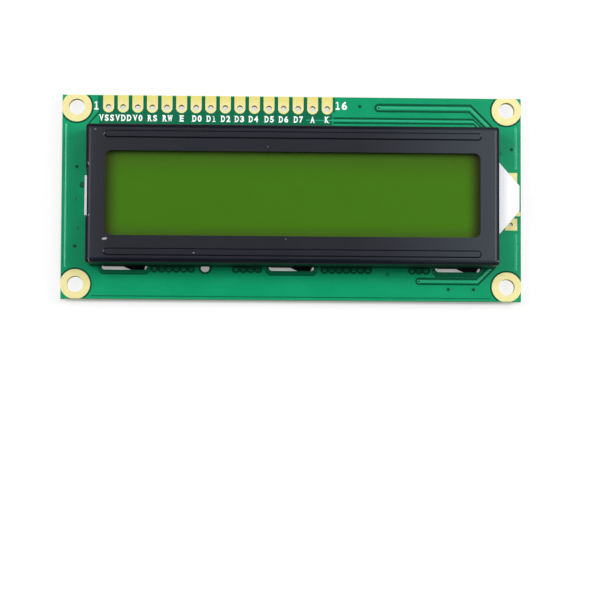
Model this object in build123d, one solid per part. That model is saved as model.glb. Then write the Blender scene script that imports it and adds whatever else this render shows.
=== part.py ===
from build123d import *
from math import radians, tan
import os

# A two-line character lcd module: a green circuit board that carries a black
# stamped steel bezel, and under the bezel the backlight, the glass cell and the
# rubber strips that join the glass to the board. The bezel is held by six lugs
# that go through slots in the board and are twisted on its back, where two
# chips lie under black resin beside a few surface-mount parts.
#
# Frame, in millimetres: the origin is the centre of the four mounting holes, on
# the back face of the board. +Z points to the reader, +Y to the edge with the
# sixteen header pads, +X from pad 1 to pad 16.

# Board
board_length = 80.0
board_width = 35.6
board_thickness = 1.6
copper = 0.04                 # thickness of a land, and of a hole's plating
seat_flats = 8                # sides of the seat that a hole's plating hides

# Mounting holes
mount_from_edge = 2.5         # to the two ends and the far edge
mount_from_header_edge = 2.1
mount_hole = 2.8
mount_land = 5.2

# Header pads along the +Y edge
pin_count = 16
pin_pitch = 2.54
pin_hole = 1.0
pin_land_width = 1.9
pin_end_flats = 12            # on a full circle, for the round end of each land
pin_first_from_edge = 8.0     # board's -X edge to pad 1
pin_row_from_edge = 2.1       # board's +Y edge to the row of holes

# Bezel, folded from sheet
bezel_from_end = 4.4          # board's end to the bezel's wall
bezel_from_header_edge = 5.9
bezel_from_far_edge = 5.7
sheet = 0.45
bend_radius = 0.9             # outside of a bend
corner_radius = 0.45
corner_gap = 0.15             # between two walls at an open corner
window_from_end = 3.35        # bezel's wall to the window
window_from_side = 4.7
window_radius = 1.1
bead_from_end = 3.15          # bezel's wall to the bead's tip
bead_from_side = 1.85         # bezel's wall to the bead's centre line
bead_width = 1.3
bead_height = 0.3
bead_flank = 35.0             # degrees from upright
side_notch_width = 8.5
side_notch_depth = 0.25

# Lugs that lock the bezel, three on each long wall
lug_from_end = 6.6            # bezel's wall to the centre of the last lug
lugs_per_side = 3
lug_root_width = 7.2
lug_root_depth = 1.0          # how far the full root goes into the slot
lug_neck_width = 3.7
lug_head_width = 6.9
lug_head_height = 1.0
lug_twist_drop = 0.9          # below the board, over which the neck twists
lug_twist_header_side = 34.0  # degrees
lug_twist_far_side = 43.0
slot_end_clearance = 0.35
slot_side_clearance = 0.36
slot_outward_header_side = -0.1   # slot's middle from the wall's middle
slot_outward_far_side = 0.28
clip_land_gap = 0.14          # slot to the land beside it
clip_land_length = 7.1
clip_land_width = 2.6

# Glass cell
glass_thickness = 1.1
polarizer_thickness = 0.25
seal_thickness = 0.06
seal_width = 0.8
seal_inset = 0.4
glass_clearance = 0.35        # glass to the inside of the bezel
contact_ledge = 2.4           # bare edge of the front glass, each long side
polarizer_margin = 0.8        # polarizer past the window, each side
lcd_clearance = 0.05          # front polarizer to the bezel

# Rubber connector strips
strip_thickness = 1.8
strip_end_setback = 4.0       # strip's end to the glass's end
contact_pitch = 1.25
contact_width = 0.7
contact_length = 1.2

# Backlight
reflector_thickness = 0.15
guide_thickness = 3.4
diffuser_thickness = 0.2
guide_clearance = 0.2         # light guide to the inside of the bezel's ends
tongue_thickness = 3.0
tongue_root_width = 13.2
tongue_tip_width = 4.4
tongue_from_edge = 0.6        # board's +X edge to the tongue's tip
tongue_wall_clearance = 0.2
tongue_film = 0.1
tongue_film_inset = 0.15
peg_width = 6.9               # edge of the light guide in the bezel's notch
peg_height = 2.6
peg_reach = 0.3               # past the bezel's wall
led_length = 3.0
led_depth = 1.0
led_height = 2.2
led_clearance = 0.05
led_lead_spacing = 2.6
led_lead_width = 0.5
led_lead_thickness = 0.3
led_lead_hole = 0.8
led_lead_below = 0.5          # past the board's back
led_land_width = 1.7
led_land_length = 1.5
led_solder_foot = (0.9, 1.45)
led_solder_tip = 0.05         # solder round the lead at its end

# Wire pads of the backlight, on both faces
wire_pad = 2.1
wire_pad_spacing = 8.0
wire_pad_from_edge = 1.7      # board's +X edge to the pad's centre
wire_pads_off_centre = -0.2   # from the bezel's centre line
wire_hole = 0.6

# Locating holes, one beside each long wall of the bezel
locating_hole = 1.5
locating_from_end = 25.0
locating_below_slots = 0.15   # from the middle of the slots, towards -Y

# Resin domes over the two chips on the back
controller_dome = 12.2
controller_height = 1.5
controller_from_end = 27.15   # board's -X edge to the dome's centre
controller_off_centre = 0.1   # from the bezel's centre line, as for what follows
driver_dome = 10.0
driver_height = 1.35
driver_from_end = 26.75       # board's +X edge to the dome's centre
driver_off_centre = 1.0
dome_side_angle = 60.0        # degrees from the board
dome_side_share = 0.45        # of a dome's height, to where its side would meet its crown
dome_round_share = 1.1        # of the height, the radius between them

# Chip resistors on the back: length, width, height
small_chip = (2.0, 1.25, 0.5)
large_chip = (3.2, 1.6, 0.55)
small_land_reach = 1.95       # chip's centre to the far end of its land
large_land_reach = 2.65
chip_cap = 0.35               # length of a metal end cap
cap_wall = 0.05
fillet_share = 0.85           # solder's height on the chip's end
fillet_bow = 0.38             # of its length and height, where its hollow curve passes
solder_toe = 0.06             # and at the far end of the land
column_from_end = 9.1         # board's -X edge to the column of resistors
column_off_centre = -0.525
column_pitch = 2.29
column_count = 6
single_from_end = 17.7        # board's -X edge to the resistor beside the column
single_off_centre = -3.6
large_from_slot = 5.05        # resistor 8, from the end of the last slot
large_from_edge = 5.1         # resistor 8, from the header edge
last_off_middle = 1.8         # resistor 9, from the middle of last pad and mounting hole
last_from_edge = 1.65         # resistor 9, from the header edge

# Empty capacitor places on the back
small_cap_from_single = 2.25
small_cap_land = (1.5, 1.4)
small_cap_span = 2.45         # centre to centre of its two lands
large_cap_from_end = 10.5     # board's +X edge to the places' centres
large_cap_off_centre = -2.3
large_cap_pitch = 3.5
large_cap_land = (1.7, 2.0)
large_cap_span = 3.35

# Empty eight-lead place on the back
driver_lands_from_end = 10.8
driver_lands_off_centre = 2.05
driver_land = (1.9, 0.6)
driver_land_span = 5.75
driver_land_pitch = 1.27

# Solder jumpers on the back
jumper_from_end = 10.6        # board's +X edge to the middle jumper
jumper_off_centre = 5.8
jumper_pitch = 2.375
jumper_count = 3
jumper_diameter = 2.1
jumper_split = 0.2
jumper_solder_height = 0.35

# Heights that follow from the stack on the board
board_front = board_thickness
bezel_foot = board_front + copper
guide_z = board_front + reflector_thickness
diffuser_z = guide_z + guide_thickness
rear_polarizer_z = diffuser_z + diffuser_thickness
rear_glass_z = rear_polarizer_z + polarizer_thickness
seal_z = rear_glass_z + glass_thickness
front_glass_z = seal_z + seal_thickness
front_polarizer_z = front_glass_z + glass_thickness
bezel_inner_z = front_polarizer_z + polarizer_thickness + lcd_clearance
bezel_front = bezel_inner_z + sheet

# Places that follow from the board's edges
board_end = board_length / 2
mount_x = board_end - mount_from_edge
mount_y = (board_width - mount_from_edge - mount_from_header_edge) / 2
header_edge = mount_y + mount_from_header_edge
far_edge = -mount_y - mount_from_edge
pin_y = header_edge - pin_row_from_edge
first_pin_x = -board_end + pin_first_from_edge
last_pin_x = first_pin_x + (pin_count - 1) * pin_pitch
tongue_reach = board_end - tongue_from_edge

# The bezel and what follows from it
bezel_length = board_length - 2 * bezel_from_end
bezel_width = board_width - bezel_from_header_edge - bezel_from_far_edge
bezel_y = (header_edge - bezel_from_header_edge + far_edge + bezel_from_far_edge) / 2
window_length = bezel_length - 2 * window_from_end
window_width = bezel_width - 2 * window_from_side
bead_length = bezel_length - 2 * bead_from_end
bead_offset = bezel_width / 2 - bead_from_side
lug_reach = bezel_length / 2 - lug_from_end
lug_spacing = 2 * lug_reach / (lugs_per_side - 1)
inner_length = bezel_length - 2 * sheet
inner_width = bezel_width - 2 * sheet
glass_length = inner_length - 2 * glass_clearance
front_glass_width = inner_width - 2 * glass_clearance
rear_glass_width = front_glass_width - 2 * contact_ledge
guide_length = inner_length - 2 * guide_clearance
strip_length = glass_length - 2 * strip_end_setback
strip_offset = front_glass_width / 2 - contact_ledge / 2
wall_line = bezel_width / 2 - sheet / 2
slot_length = lug_root_width + 2 * slot_end_clearance
slot_width = sheet + 2 * slot_side_clearance

nodes = {}


def put(name, *solids):
    """Keep one or more solids as a named piece."""
    nodes[name] = solids[0] if len(solids) == 1 else Compound(children=list(solids))


def plate(size_x, size_y, thickness, x=0.0, y=0.0, z=0.0):
    """Flat rectangular solid whose underside is at z."""
    return Pos(x, y, z) * extrude(Rectangle(size_x, size_y), amount=thickness)


def front_land(shape):
    """Copper land on the front face."""
    return Pos(0, 0, board_front) * extrude(shape, amount=copper)


def back_land(shape):
    """Copper land on the back face."""
    return Pos(0, 0, -copper) * extrude(shape, amount=copper)


def plated_hole(x, y, diameter, land):
    """Plating through a round hole with the same land on both faces, as one solid.

    The outside of the plating and its seat in the board have flats, which the
    lands hide.
    """
    hole = Pos(x, y) * Circle(diameter / 2)
    seat = Pos(x, y) * RegularPolygon(diameter / 2 + copper, seat_flats, major_radius=False)
    board_cuts.append(seat)
    barrel = extrude(seat - hole, amount=board_thickness)
    return barrel + front_land(land - hole) + back_land(land - hole)


def on_back(x, y):
    """Place on the back face, with local +Z pointing away from the board."""
    return Pos(x, y, 0) * Rot(180, 0, 0)


board_outline = Pos(0, (header_edge + far_edge) / 2) * Rectangle(board_length, board_width)
board_cuts = []

# Mounting holes and their lands, which the board's corner trims
mounting_lands = []
for place in GridLocations(2 * mount_x, 2 * mount_y, 2, 2):
    land = (place * Circle(mount_land / 2)) & board_outline
    x, y = place.position.X, place.position.Y
    mounting_lands.append(plated_hole(x, y, mount_hole, land))
put("mounting_hole_lands", *mounting_lands)

# Header pads: a round end at the hole, and straight sides out to the edge
header_pads = []
half_flat = 180 / pin_end_flats
round_end = RegularPolygon(pin_land_width / 2, pin_end_flats, major_radius=False, rotation=half_flat)
run_out = Rectangle(pin_land_width, pin_row_from_edge, align=(Align.CENTER, Align.MIN))
for index in range(pin_count):
    x = first_pin_x + index * pin_pitch
    land = Pos(x, pin_y) * (round_end + run_out)
    header_pads.append(plated_hole(x, pin_y, pin_hole, land))
put("header_pads", *header_pads)

# Slots for the lugs, and the lands beside them on the back
slot_rows = {
    1: bezel_y + wall_line + slot_outward_header_side,
    -1: bezel_y - wall_line - slot_outward_far_side,
}
slot_places = []
for side in (1, -1):
    for index in range(lugs_per_side):
        slot_places.append((index * lug_spacing - lug_reach, slot_rows[side], side))
clip_lands = []
for x, y, side in slot_places:
    board_cuts.append(Pos(x, y) * SlotOverall(slot_length, slot_width))
    land_y = y - side * (slot_width / 2 + clip_land_gap + clip_land_width / 2)
    clip_lands.append(back_land(Pos(x, land_y) * Rectangle(clip_land_length, clip_land_width)))
put("clip_lands", *clip_lands)

# Locating holes
for side in (1, -1):
    x = side * (board_end - locating_from_end)
    y = slot_rows[side] - locating_below_slots
    board_cuts.append(Pos(x, y) * Circle(locating_hole / 2))

# Square wire pads of the backlight
wire_x = board_end - wire_pad_from_edge
wire_pads = []
for side in (1, -1):
    y = bezel_y + wire_pads_off_centre + side * wire_pad_spacing / 2
    wire_pads.append(plated_hole(wire_x, y, wire_hole, Pos(wire_x, y) * Rectangle(wire_pad, wire_pad)))
put("backlight_wire_pads", *wire_pads)

# Lands and holes for the two leads of the backlight's lamp, at the board's edge
led_x = tongue_reach - led_clearance - led_depth / 2
led_lands = []
for side in (1, -1):
    y = bezel_y + side * led_lead_spacing / 2
    land = (Pos(led_x, y) * Rectangle(led_land_length, led_land_width)) & board_outline
    led_lands.append(plated_hole(led_x, y, led_lead_hole, land))
put("led_lands", *led_lands)

# The board itself
board = extrude(board_outline, amount=board_thickness)
for cut in board_cuts:
    board -= extrude(cut, amount=board_thickness)
put("circuit_board", board)


def chip_resistor(name, size, reach, place):
    """Ceramic chip, its two wrapped end caps, and the solder and lands under them."""
    length, width, height = size
    base = copper + cap_wall
    ceramic = plate(length, width, height, z=base)
    outer = plate(length + 2 * cap_wall, width + 2 * cap_wall, height + 2 * cap_wall, z=copper)
    between = plate(length - 2 * chip_cap, 2 * width, 3 * height)
    caps = outer - between - ceramic
    end = length / 2 + cap_wall
    top = copper + fillet_share * (height + 2 * cap_wall)
    toe = copper + solder_toe
    bow = (end + fillet_bow * (reach - end), toe + fillet_bow * (top - toe))
    edge = [
        Line((end, copper), (reach, copper)),
        Line((reach, copper), (reach, toe)),
        ThreePointArc((reach, toe), bow, (end, top)),
        Line((end, top), (end, copper)),
    ]
    fillet_solid = extrude(Plane.XZ * make_face(edge), amount=width / 2, both=True)
    land_start = length / 2 - chip_cap
    land = plate(reach - land_start, width + 2 * cap_wall, copper, x=(reach + land_start) / 2)
    put(name, place * ceramic)
    put(name + "_end_caps", *[place * cap for cap in caps.solids()])
    solder.extend([place * fillet_solid, place * Rot(0, 0, 180) * fillet_solid])
    chip_lands.extend([place * land, place * Rot(0, 0, 180) * land])


solder = []
chip_lands = []
column_x = -board_end + column_from_end
column_start = bezel_y + column_off_centre - (column_count - 1) / 2 * column_pitch
single_x = -board_end + single_from_end
single_y = bezel_y + single_off_centre
small_places = [(column_x, column_start + row * column_pitch) for row in range(column_count)]
small_places.append((single_x, single_y))
large_places = [
    (lug_reach - slot_length / 2 - large_from_slot, header_edge - large_from_edge),
    ((last_pin_x + mount_x) / 2 - last_off_middle, header_edge - last_from_edge),
]
for number, (x, y) in enumerate(small_places, 1):
    chip_resistor(f"resistor_{number}", small_chip, small_land_reach, on_back(x, y))
for number, (x, y) in enumerate(large_places, len(small_places) + 1):
    chip_resistor(f"resistor_{number}", large_chip, large_land_reach, on_back(x, y))
put("resistor_solder", *solder)
put("resistor_lands", *chip_lands)


def land_pair(x, y, size, span):
    """The two lands of a part that isn't fitted."""
    return [back_land(Pos(x + side * span / 2, y) * Rectangle(*size)) for side in (1, -1)]


cap_lands = land_pair(single_x, single_y - small_cap_from_single, small_cap_land, small_cap_span)
for row in range(2):
    y = bezel_y + large_cap_off_centre - row * large_cap_pitch
    cap_lands += land_pair(board_end - large_cap_from_end, y, large_cap_land, large_cap_span)
put("capacitor_lands", *cap_lands)

driver_lands = []
driver_place = Pos(board_end - driver_lands_from_end, bezel_y + driver_lands_off_centre)
for place in GridLocations(driver_land_span, driver_land_pitch, 2, 4):
    driver_lands.append(back_land(driver_place * place * Rectangle(*driver_land)))
put("driver_lands", *driver_lands)

# Jumpers are round lands split down the middle; the last one is bridged
jumper_lands = []
jumper_y = bezel_y + jumper_off_centre
for index in range(jumper_count):
    x = board_end - jumper_from_end + (index - (jumper_count - 1) / 2) * jumper_pitch
    split = Rectangle(jumper_split, 2 * jumper_diameter)
    halves = back_land(Pos(x, jumper_y) * (Circle(jumper_diameter / 2) - split))
    jumper_lands.extend(halves.solids())
put("jumper_lands", *jumper_lands)


def dome(diameter, height):
    """Low dome: a steep side, a flat crown, and a generous round between them."""
    side_height = dome_side_share * height
    side_foot = (diameter / 2, 0)
    side_top = (diameter / 2 - side_height / tan(radians(dome_side_angle)), side_height)
    outline = [
        Line((0, 0), side_foot),
        Line(side_foot, side_top),
        TangentArc((0, height), side_top, tangent=(1, 0)),
        Line((0, height), (0, 0)),
    ]
    profile = make_face(outline)
    shoulder = profile.vertices().sort_by_distance(side_top)[0]
    return revolve(Plane.XZ * fillet(shoulder, dome_round_share * height), Axis.Z)


# The loop above ends at the jumper that solder bridges
bridge = Pos(0, 0, copper) * dome(jumper_diameter, jumper_solder_height)
put("jumper_solder", on_back(x, jumper_y) * bridge)

# Resin poured over the two chips
controller_place = on_back(-board_end + controller_from_end, bezel_y + controller_off_centre)
driver_place = on_back(board_end - driver_from_end, bezel_y + driver_off_centre)
put("controller_resin_dome", controller_place * dome(controller_dome, controller_height))
put("driver_resin_dome", driver_place * dome(driver_dome, driver_height))

# Contact pads under the rubber strips, and the strips
contact_count = int(strip_length // contact_pitch)
contact_pads = []
strips = []
for side in (1, -1):
    y = bezel_y + side * strip_offset
    for place in GridLocations(contact_pitch, 0, contact_count, 1):
        contact_pads.append(front_land(Pos(0, y) * place * Rectangle(contact_width, contact_length)))
    foot = board_front + copper
    strips.append(plate(strip_length, strip_thickness, front_glass_z - foot, y=y, z=foot))
put("contact_pads", *contact_pads)
put("upper_rubber_strip", strips[0])
put("lower_rubber_strip", strips[1])

# Glass cell, from the front polarizer down
film_length = window_length + 2 * polarizer_margin
film_width = window_width + 2 * polarizer_margin
front_polarizer = plate(film_length, film_width, polarizer_thickness, y=bezel_y, z=front_polarizer_z)
put("front_polarizer", front_polarizer)
put("front_glass", plate(glass_length, front_glass_width, glass_thickness, y=bezel_y, z=front_glass_z))
seal_outer = Rectangle(glass_length - 2 * seal_inset, rear_glass_width - 2 * seal_inset)
seal_ring = seal_outer - offset(seal_outer, amount=-seal_width)
put("glass_seal", Pos(0, bezel_y, seal_z) * extrude(seal_ring, amount=seal_thickness))
put("rear_glass", plate(glass_length, rear_glass_width, glass_thickness, y=bezel_y, z=rear_glass_z))
put(
    "rear_polarizer",
    plate(film_length, film_width, polarizer_thickness, y=bezel_y, z=rear_polarizer_z),
)

# Backlight: the light guide with the tongue that holds its lamp
put(
    "diffuser_film",
    plate(guide_length, rear_glass_width, diffuser_thickness, y=bezel_y, z=diffuser_z),
)
put(
    "reflector_film",
    plate(guide_length, rear_glass_width, reflector_thickness, y=bezel_y, z=board_front),
)
guide_end = guide_length / 2
wall_face = bezel_length / 2
tongue = Polyline(
    (guide_end - sheet, tongue_root_width / 2),
    (wall_face, tongue_root_width / 2),
    (tongue_reach, tongue_tip_width / 2),
    (tongue_reach, -tongue_tip_width / 2),
    (wall_face, -tongue_root_width / 2),
    (guide_end - sheet, -tongue_root_width / 2),
    close=True,
)
guide = extrude(Rectangle(guide_length, rear_glass_width), amount=guide_thickness)
guide += extrude(make_face(tongue), amount=tongue_thickness)
guide += plate(wall_face + peg_reach, peg_width, peg_height, x=-(wall_face + peg_reach) / 2)
pocket_length = led_depth + 2 * led_clearance
pocket_width = led_length + 2 * led_clearance
guide -= plate(
    2 * pocket_length, pocket_width, led_height + led_clearance, x=tongue_reach,
)
put("light_guide", Pos(0, bezel_y, guide_z) * guide)

film_root = wall_face + tongue_film_inset
film_slope = (tongue_root_width - tongue_tip_width) / 2 / (tongue_reach - wall_face)
film_tip = tongue_reach - tongue_film_inset
half_root = tongue_root_width / 2 - film_slope * (film_root - wall_face) - tongue_film_inset
half_tip = tongue_tip_width / 2 + film_slope * tongue_film_inset - tongue_film_inset
tongue_cover = Polyline(
    (film_root, half_root),
    (film_tip, half_tip),
    (film_tip, -half_tip),
    (film_root, -half_root),
    close=True,
)
cover_z = guide_z + tongue_thickness
put("tongue_cover_film", Pos(0, bezel_y, cover_z) * extrude(make_face(tongue_cover), amount=tongue_film))

# Lamp in the tongue's tip, with its leads through the board and their solder
led_foot = board_front + copper
lamp = plate(led_depth, led_length, guide_z + led_height - led_foot, x=led_x, y=bezel_y, z=led_foot)
put("backlight_lamp", lamp)
lead_length = board_thickness + copper + led_lead_below
leads = []
lead_solder = []
for side in (1, -1):
    y = bezel_y + side * led_lead_spacing / 2
    leads.append(
        plate(led_lead_thickness, led_lead_width, lead_length, x=led_x, y=y, z=-led_lead_below)
    )
    foot = Rectangle(*led_solder_foot)
    tip = Rectangle(led_lead_thickness + 2 * led_solder_tip, led_lead_width + 2 * led_solder_tip)
    cone = loft([foot, Pos(0, 0, led_lead_below - copper) * tip])
    placed = on_back(led_x, y) * Pos(0, 0, copper) * cone
    lead_solder.append(placed - leads[-1])
put("lamp_lead_1", leads[0])
put("lamp_lead_2", leads[1])
put("lamp_solder", *lead_solder)


def raised_bead():
    """Long bead pressed up from the sheet, with its hollow below."""
    rise = extrude(SlotOverall(bead_length, bead_width), amount=bead_height, taper=bead_flank)
    hollow_shape = SlotOverall(bead_length - 2 * sheet, bead_width - 2 * sheet)
    hollow = extrude(hollow_shape, amount=bead_height, taper=bead_flank)
    return Pos(0, 0, bezel_front) * rise, Pos(0, 0, bezel_inner_z) * hollow


def twisted_neck(x, twist):
    """Sheet below the board that turns about its own centre line, in flat facets."""
    across = [(-1, -1), (1, -1), (1, 1), (-1, 1)]
    corners = [(x_side * lug_neck_width / 2, y_side * sheet / 2) for x_side, y_side in across]
    turn = Pos(0, 0, -lug_twist_drop) * Rot(0, 0, -twist)
    top = [Vector(*corner) for corner in corners]
    foot = [(turn * Pos(*corner)).position for corner in corners]
    # both wide faces are creased along the same diagonal, which keeps the sheet even
    triangles = [
        (top[0], top[1], foot[1]), (top[0], foot[1], foot[0]),
        (top[1], top[2], foot[2]), (top[1], foot[2], foot[1]),
        (top[2], top[3], foot[2]), (top[3], foot[3], foot[2]),
        (top[3], top[0], foot[0]), (top[3], foot[0], foot[3]),
    ]
    faces = [Face(Wire.make_polygon(corners)) for corners in [top, foot, *triangles]]
    return Pos(x, 0, 0) * Solid(Shell(faces))


def locking_lug(side):
    """Hooked lug at its slot's centre: root, half-width neck, and the twisted head.

    The neck is at -X on the header side and at +X on the far side, and the head
    turns about the neck's centre line.
    """
    twist = lug_twist_header_side if side > 0 else lug_twist_far_side
    neck_x = -side * (lug_root_width - lug_neck_width) / 2
    root_end = board_front - lug_root_depth
    root = plate(lug_root_width, sheet, bezel_foot - root_end, z=root_end)
    straight = plate(lug_neck_width, sheet, root_end, x=neck_x)
    head_x = side * (lug_head_width - lug_neck_width) / 2
    head = plate(lug_head_width, sheet, lug_head_height, x=head_x, z=-lug_twist_drop - lug_head_height)
    head = Pos(neck_x, 0, 0) * Rot(0, 0, -twist) * head
    return root + straight + twisted_neck(neck_x, twist) + head


def folded_bezel():
    """Front plate with four walls folded down, open corners, window, beads and lugs."""
    height = bezel_front - bezel_foot
    outer = extrude(Rectangle(bezel_length, bezel_width), amount=height)
    outer = fillet(outer.edges().filter_by(Axis.Z), corner_radius)
    outer = fillet(outer.faces().sort_by(Axis.Z)[-1].edges(), bend_radius)
    inner = extrude(Rectangle(inner_length, inner_width), amount=height - sheet)
    inner = fillet(inner.faces().sort_by(Axis.Z)[-1].edges(), bend_radius - sheet)
    shell = outer - inner
    relief = sheet + corner_gap
    slit_height = height - bend_radius
    for place in GridLocations(bezel_length - relief, bezel_width - relief, 2, 2):
        shell -= place * extrude(Rectangle(relief, relief), amount=slit_height)
    window = RectangleRounded(window_length, window_width, window_radius)
    shell -= extrude(window, amount=2 * height)
    # notch for the light guide's edge at -X, and the tongue's way out at +X
    notch = Rectangle(2 * side_notch_depth, side_notch_width)
    shell -= Pos(-bezel_length / 2, 0) * extrude(notch, amount=2 * height)
    wall_notch = Rectangle(2 * bend_radius, side_notch_width)
    shell -= Pos(-bezel_length / 2, 0) * extrude(wall_notch, amount=height - sheet)
    mouth = Rectangle(4 * sheet, tongue_root_width + 2 * tongue_wall_clearance)
    mouth_height = guide_z + tongue_thickness + tongue_wall_clearance - bezel_foot
    shell -= Pos(bezel_length / 2, 0) * extrude(mouth, amount=mouth_height)
    shell = Pos(0, bezel_y, bezel_foot) * shell
    for side in (1, -1):
        rise, hollow = raised_bead()
        shell += Pos(0, bezel_y + side * bead_offset, 0) * rise
        shell -= Pos(0, bezel_y + side * bead_offset, 0) * hollow
    for x, _, side in slot_places:
        shell += Pos(x, bezel_y + side * wall_line, 0) * locking_lug(side)
    return shell


put("bezel", folded_bezel())

os.makedirs("parts", exist_ok=True)
for name, solid in nodes.items():
    export_step(solid, f"parts/{name}.step")
print(len(nodes), "nodes")
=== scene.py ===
"""The looks of a two-line character lcd module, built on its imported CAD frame.

The board lies face up on the lugs of its bezel. +X runs along the header from pad 1,
+Y points to the header edge and +Z to the reader. Lengths below are in millimetres and
become metres where a mesh, lamp or camera is made.
"""

import math

import bmesh
import bpy
from mathutils import Matrix, Vector

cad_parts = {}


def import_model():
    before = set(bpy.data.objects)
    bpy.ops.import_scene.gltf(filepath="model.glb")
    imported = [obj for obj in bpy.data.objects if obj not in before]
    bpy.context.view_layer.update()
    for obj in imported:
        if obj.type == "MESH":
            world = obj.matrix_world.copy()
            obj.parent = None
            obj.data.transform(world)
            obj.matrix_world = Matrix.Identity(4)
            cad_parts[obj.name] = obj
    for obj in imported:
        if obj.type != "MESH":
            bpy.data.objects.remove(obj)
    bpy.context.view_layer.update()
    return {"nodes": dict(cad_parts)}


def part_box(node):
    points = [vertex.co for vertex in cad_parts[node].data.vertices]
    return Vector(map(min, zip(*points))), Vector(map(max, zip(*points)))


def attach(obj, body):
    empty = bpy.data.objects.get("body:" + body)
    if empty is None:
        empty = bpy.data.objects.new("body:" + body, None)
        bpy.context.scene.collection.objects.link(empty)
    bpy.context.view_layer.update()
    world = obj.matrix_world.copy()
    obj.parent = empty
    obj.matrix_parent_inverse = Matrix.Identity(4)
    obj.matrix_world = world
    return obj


MM = 0.001

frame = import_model()
nodes = frame["nodes"]


def box_mm(node):
    """Lowest and highest corner of a CAD node, in millimetres."""
    low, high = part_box(node)
    return low / MM, high / MM


BOARD_LOW, BOARD_HIGH = box_mm("circuit_board")
POLARIZER_LOW, POLARIZER_HIGH = box_mm("front_polarizer")
FRONT = BOARD_HIGH.z
BACK = BOARD_LOW.z
END = BOARD_HIGH.x
HEADER_EDGE = BOARD_HIGH.y
FAR_EDGE = BOARD_LOW.y
FLOOR = box_mm("bezel")[0].z
# the polarizer reaches so far past the bezel's window
WINDOW_MARGIN = 0.8
WINDOW_LOW = (POLARIZER_LOW.x + WINDOW_MARGIN, POLARIZER_LOW.y + WINDOW_MARGIN)
WINDOW_HIGH = (POLARIZER_HIGH.x - WINDOW_MARGIN, POLARIZER_HIGH.y - WINDOW_MARGIN)
# a Mix node that blends colours: its share, first colour, second colour and result
MIX_SHARE, MIX_ONE, MIX_OTHER, MIX_RESULT = 0, 6, 7, 2


def srgb(red, green, blue):
    """A colour as the eye counts it, 0 to 255, made linear for a shader."""
    linear = []
    for part in (red, green, blue):
        share = part / 255
        linear.append(share / 12.92 if share <= 0.04045 else ((share + 0.055) / 1.055) ** 2.4)
    return (*linear, 1.0)


class Value:
    """A shader socket whose arithmetic adds Math nodes."""

    def __init__(self, finish, socket):
        self.finish = finish
        self.socket = socket

    def math(self, operation, *others):
        values = dict(enumerate((self, *others)))
        return self.finish.node("ShaderNodeMath", values, operation=operation)

    def __add__(self, other):
        return self.math("ADD", other)

    def __sub__(self, other):
        return self.math("SUBTRACT", other)

    def __rsub__(self, other):
        return self.finish.node("ShaderNodeMath", {0: other, 1: self}, operation="SUBTRACT")

    def __mul__(self, other):
        return self.math("MULTIPLY", other)

    def __truediv__(self, other):
        return self.math("DIVIDE", other)

    def __abs__(self):
        return self.math("ABSOLUTE")

    __radd__ = __add__
    __rmul__ = __mul__

    def maximum(self, other):
        return self.math("MAXIMUM", other)

    def rise(self, start, end):
        """0 below start, 1 above end, and smooth between; start may be the larger."""
        values = {"Value": self, "From Min": start, "From Max": end}
        return self.finish.node("ShaderNodeMapRange", values, interpolation_type="SMOOTHSTEP")


class Finish:
    """A material in the making: one Principled shader and the nodes that feed it."""

    def __init__(self, name, **constants):
        self.material = bpy.data.materials.new(name)
        self.material.use_nodes = True
        self.tree = self.material.node_tree
        self.shader = self.tree.nodes["Principled BSDF"]
        self.set(**constants)
        place = self.node("ShaderNodeTexCoord", {}, "Object")
        self.place = self.node("ShaderNodeVectorMath", {0: place, "Scale": 1 / MM}, operation="SCALE")
        self.x, self.y = self.parts(self.place)[:2]

    def node(self, kind, values, output=0, **settings):
        """Add a node, set it, fill its inputs, and return one of its outputs."""
        made = self.tree.nodes.new(kind)
        for key, setting in settings.items():
            setattr(made, key, setting)
        for key, value in values.items():
            self.feed(made.inputs[key], value)
        return Value(self, made.outputs[output])

    def parts(self, vector):
        """The X, Y and Z of a vector."""
        along_x = self.node("ShaderNodeSeparateXYZ", {0: vector})
        return [Value(self, output) for output in along_x.socket.node.outputs]

    def feed(self, target, value):
        """Link a value to a socket, or set the socket to a constant."""
        if isinstance(value, Value):
            self.tree.links.new(value.socket, target)
        else:
            target.default_value = value

    def set(self, **sockets):
        """Fill the shader's sockets, named with _ for a space."""
        for key, value in sockets.items():
            self.feed(self.shader.inputs[key.replace("_", " ")], value)

    def noise(self, per_mm, detail=2.0, roughness=0.5, stretch=(1, 1, 1)):
        """Noise from 0 to 1 with so many features to a millimetre."""
        place = self.place
        if stretch != (1, 1, 1):
            place = self.node("ShaderNodeVectorMath", {0: place, 1: stretch}, operation="MULTIPLY")
        values = {"Vector": place, "Scale": per_mm, "Detail": detail, "Roughness": roughness}
        return self.node("ShaderNodeTexNoise", values)

    def cells(self, per_mm):
        """Distance to the nearest of many scattered points."""
        return self.node("ShaderNodeTexVoronoi", {"Vector": self.place, "Scale": per_mm})

    def mix(self, share, one, other):
        """Blend two colours."""
        values = {MIX_SHARE: share, MIX_ONE: one, MIX_OTHER: other}
        return self.node("ShaderNodeMix", values, MIX_RESULT, data_type="RGBA")

    def blot(self, x, y, long, wide, turn):
        """Ragged oval mark of 1 on 0, its half axes in millimetres and its turn in degrees."""
        cosine, sine = math.cos(math.radians(turn)), math.sin(math.radians(turn))
        along = ((self.x - x) * cosine + (self.y - y) * sine) / long
        across = ((self.y - y) * cosine - (self.x - x) * sine) / wide
        ragged = self.noise(4.0, 3.0) * 1.2 - 0.6
        return (along * along + across * across + ragged).rise(1.1, 0.8)

    def facing_up(self):
        """How far a face looks along Z, from -1 to 1."""
        normal = self.node("ShaderNodeNewGeometry", {}, "Normal")
        return self.parts(normal)[2]

    def bump(self, height, depth_mm):
        """Relief of a height from 0 to 1, so deep."""
        values = {"Height": height, "Distance": depth_mm * MM}
        self.set(Normal=self.node("ShaderNodeBump", values))


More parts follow.
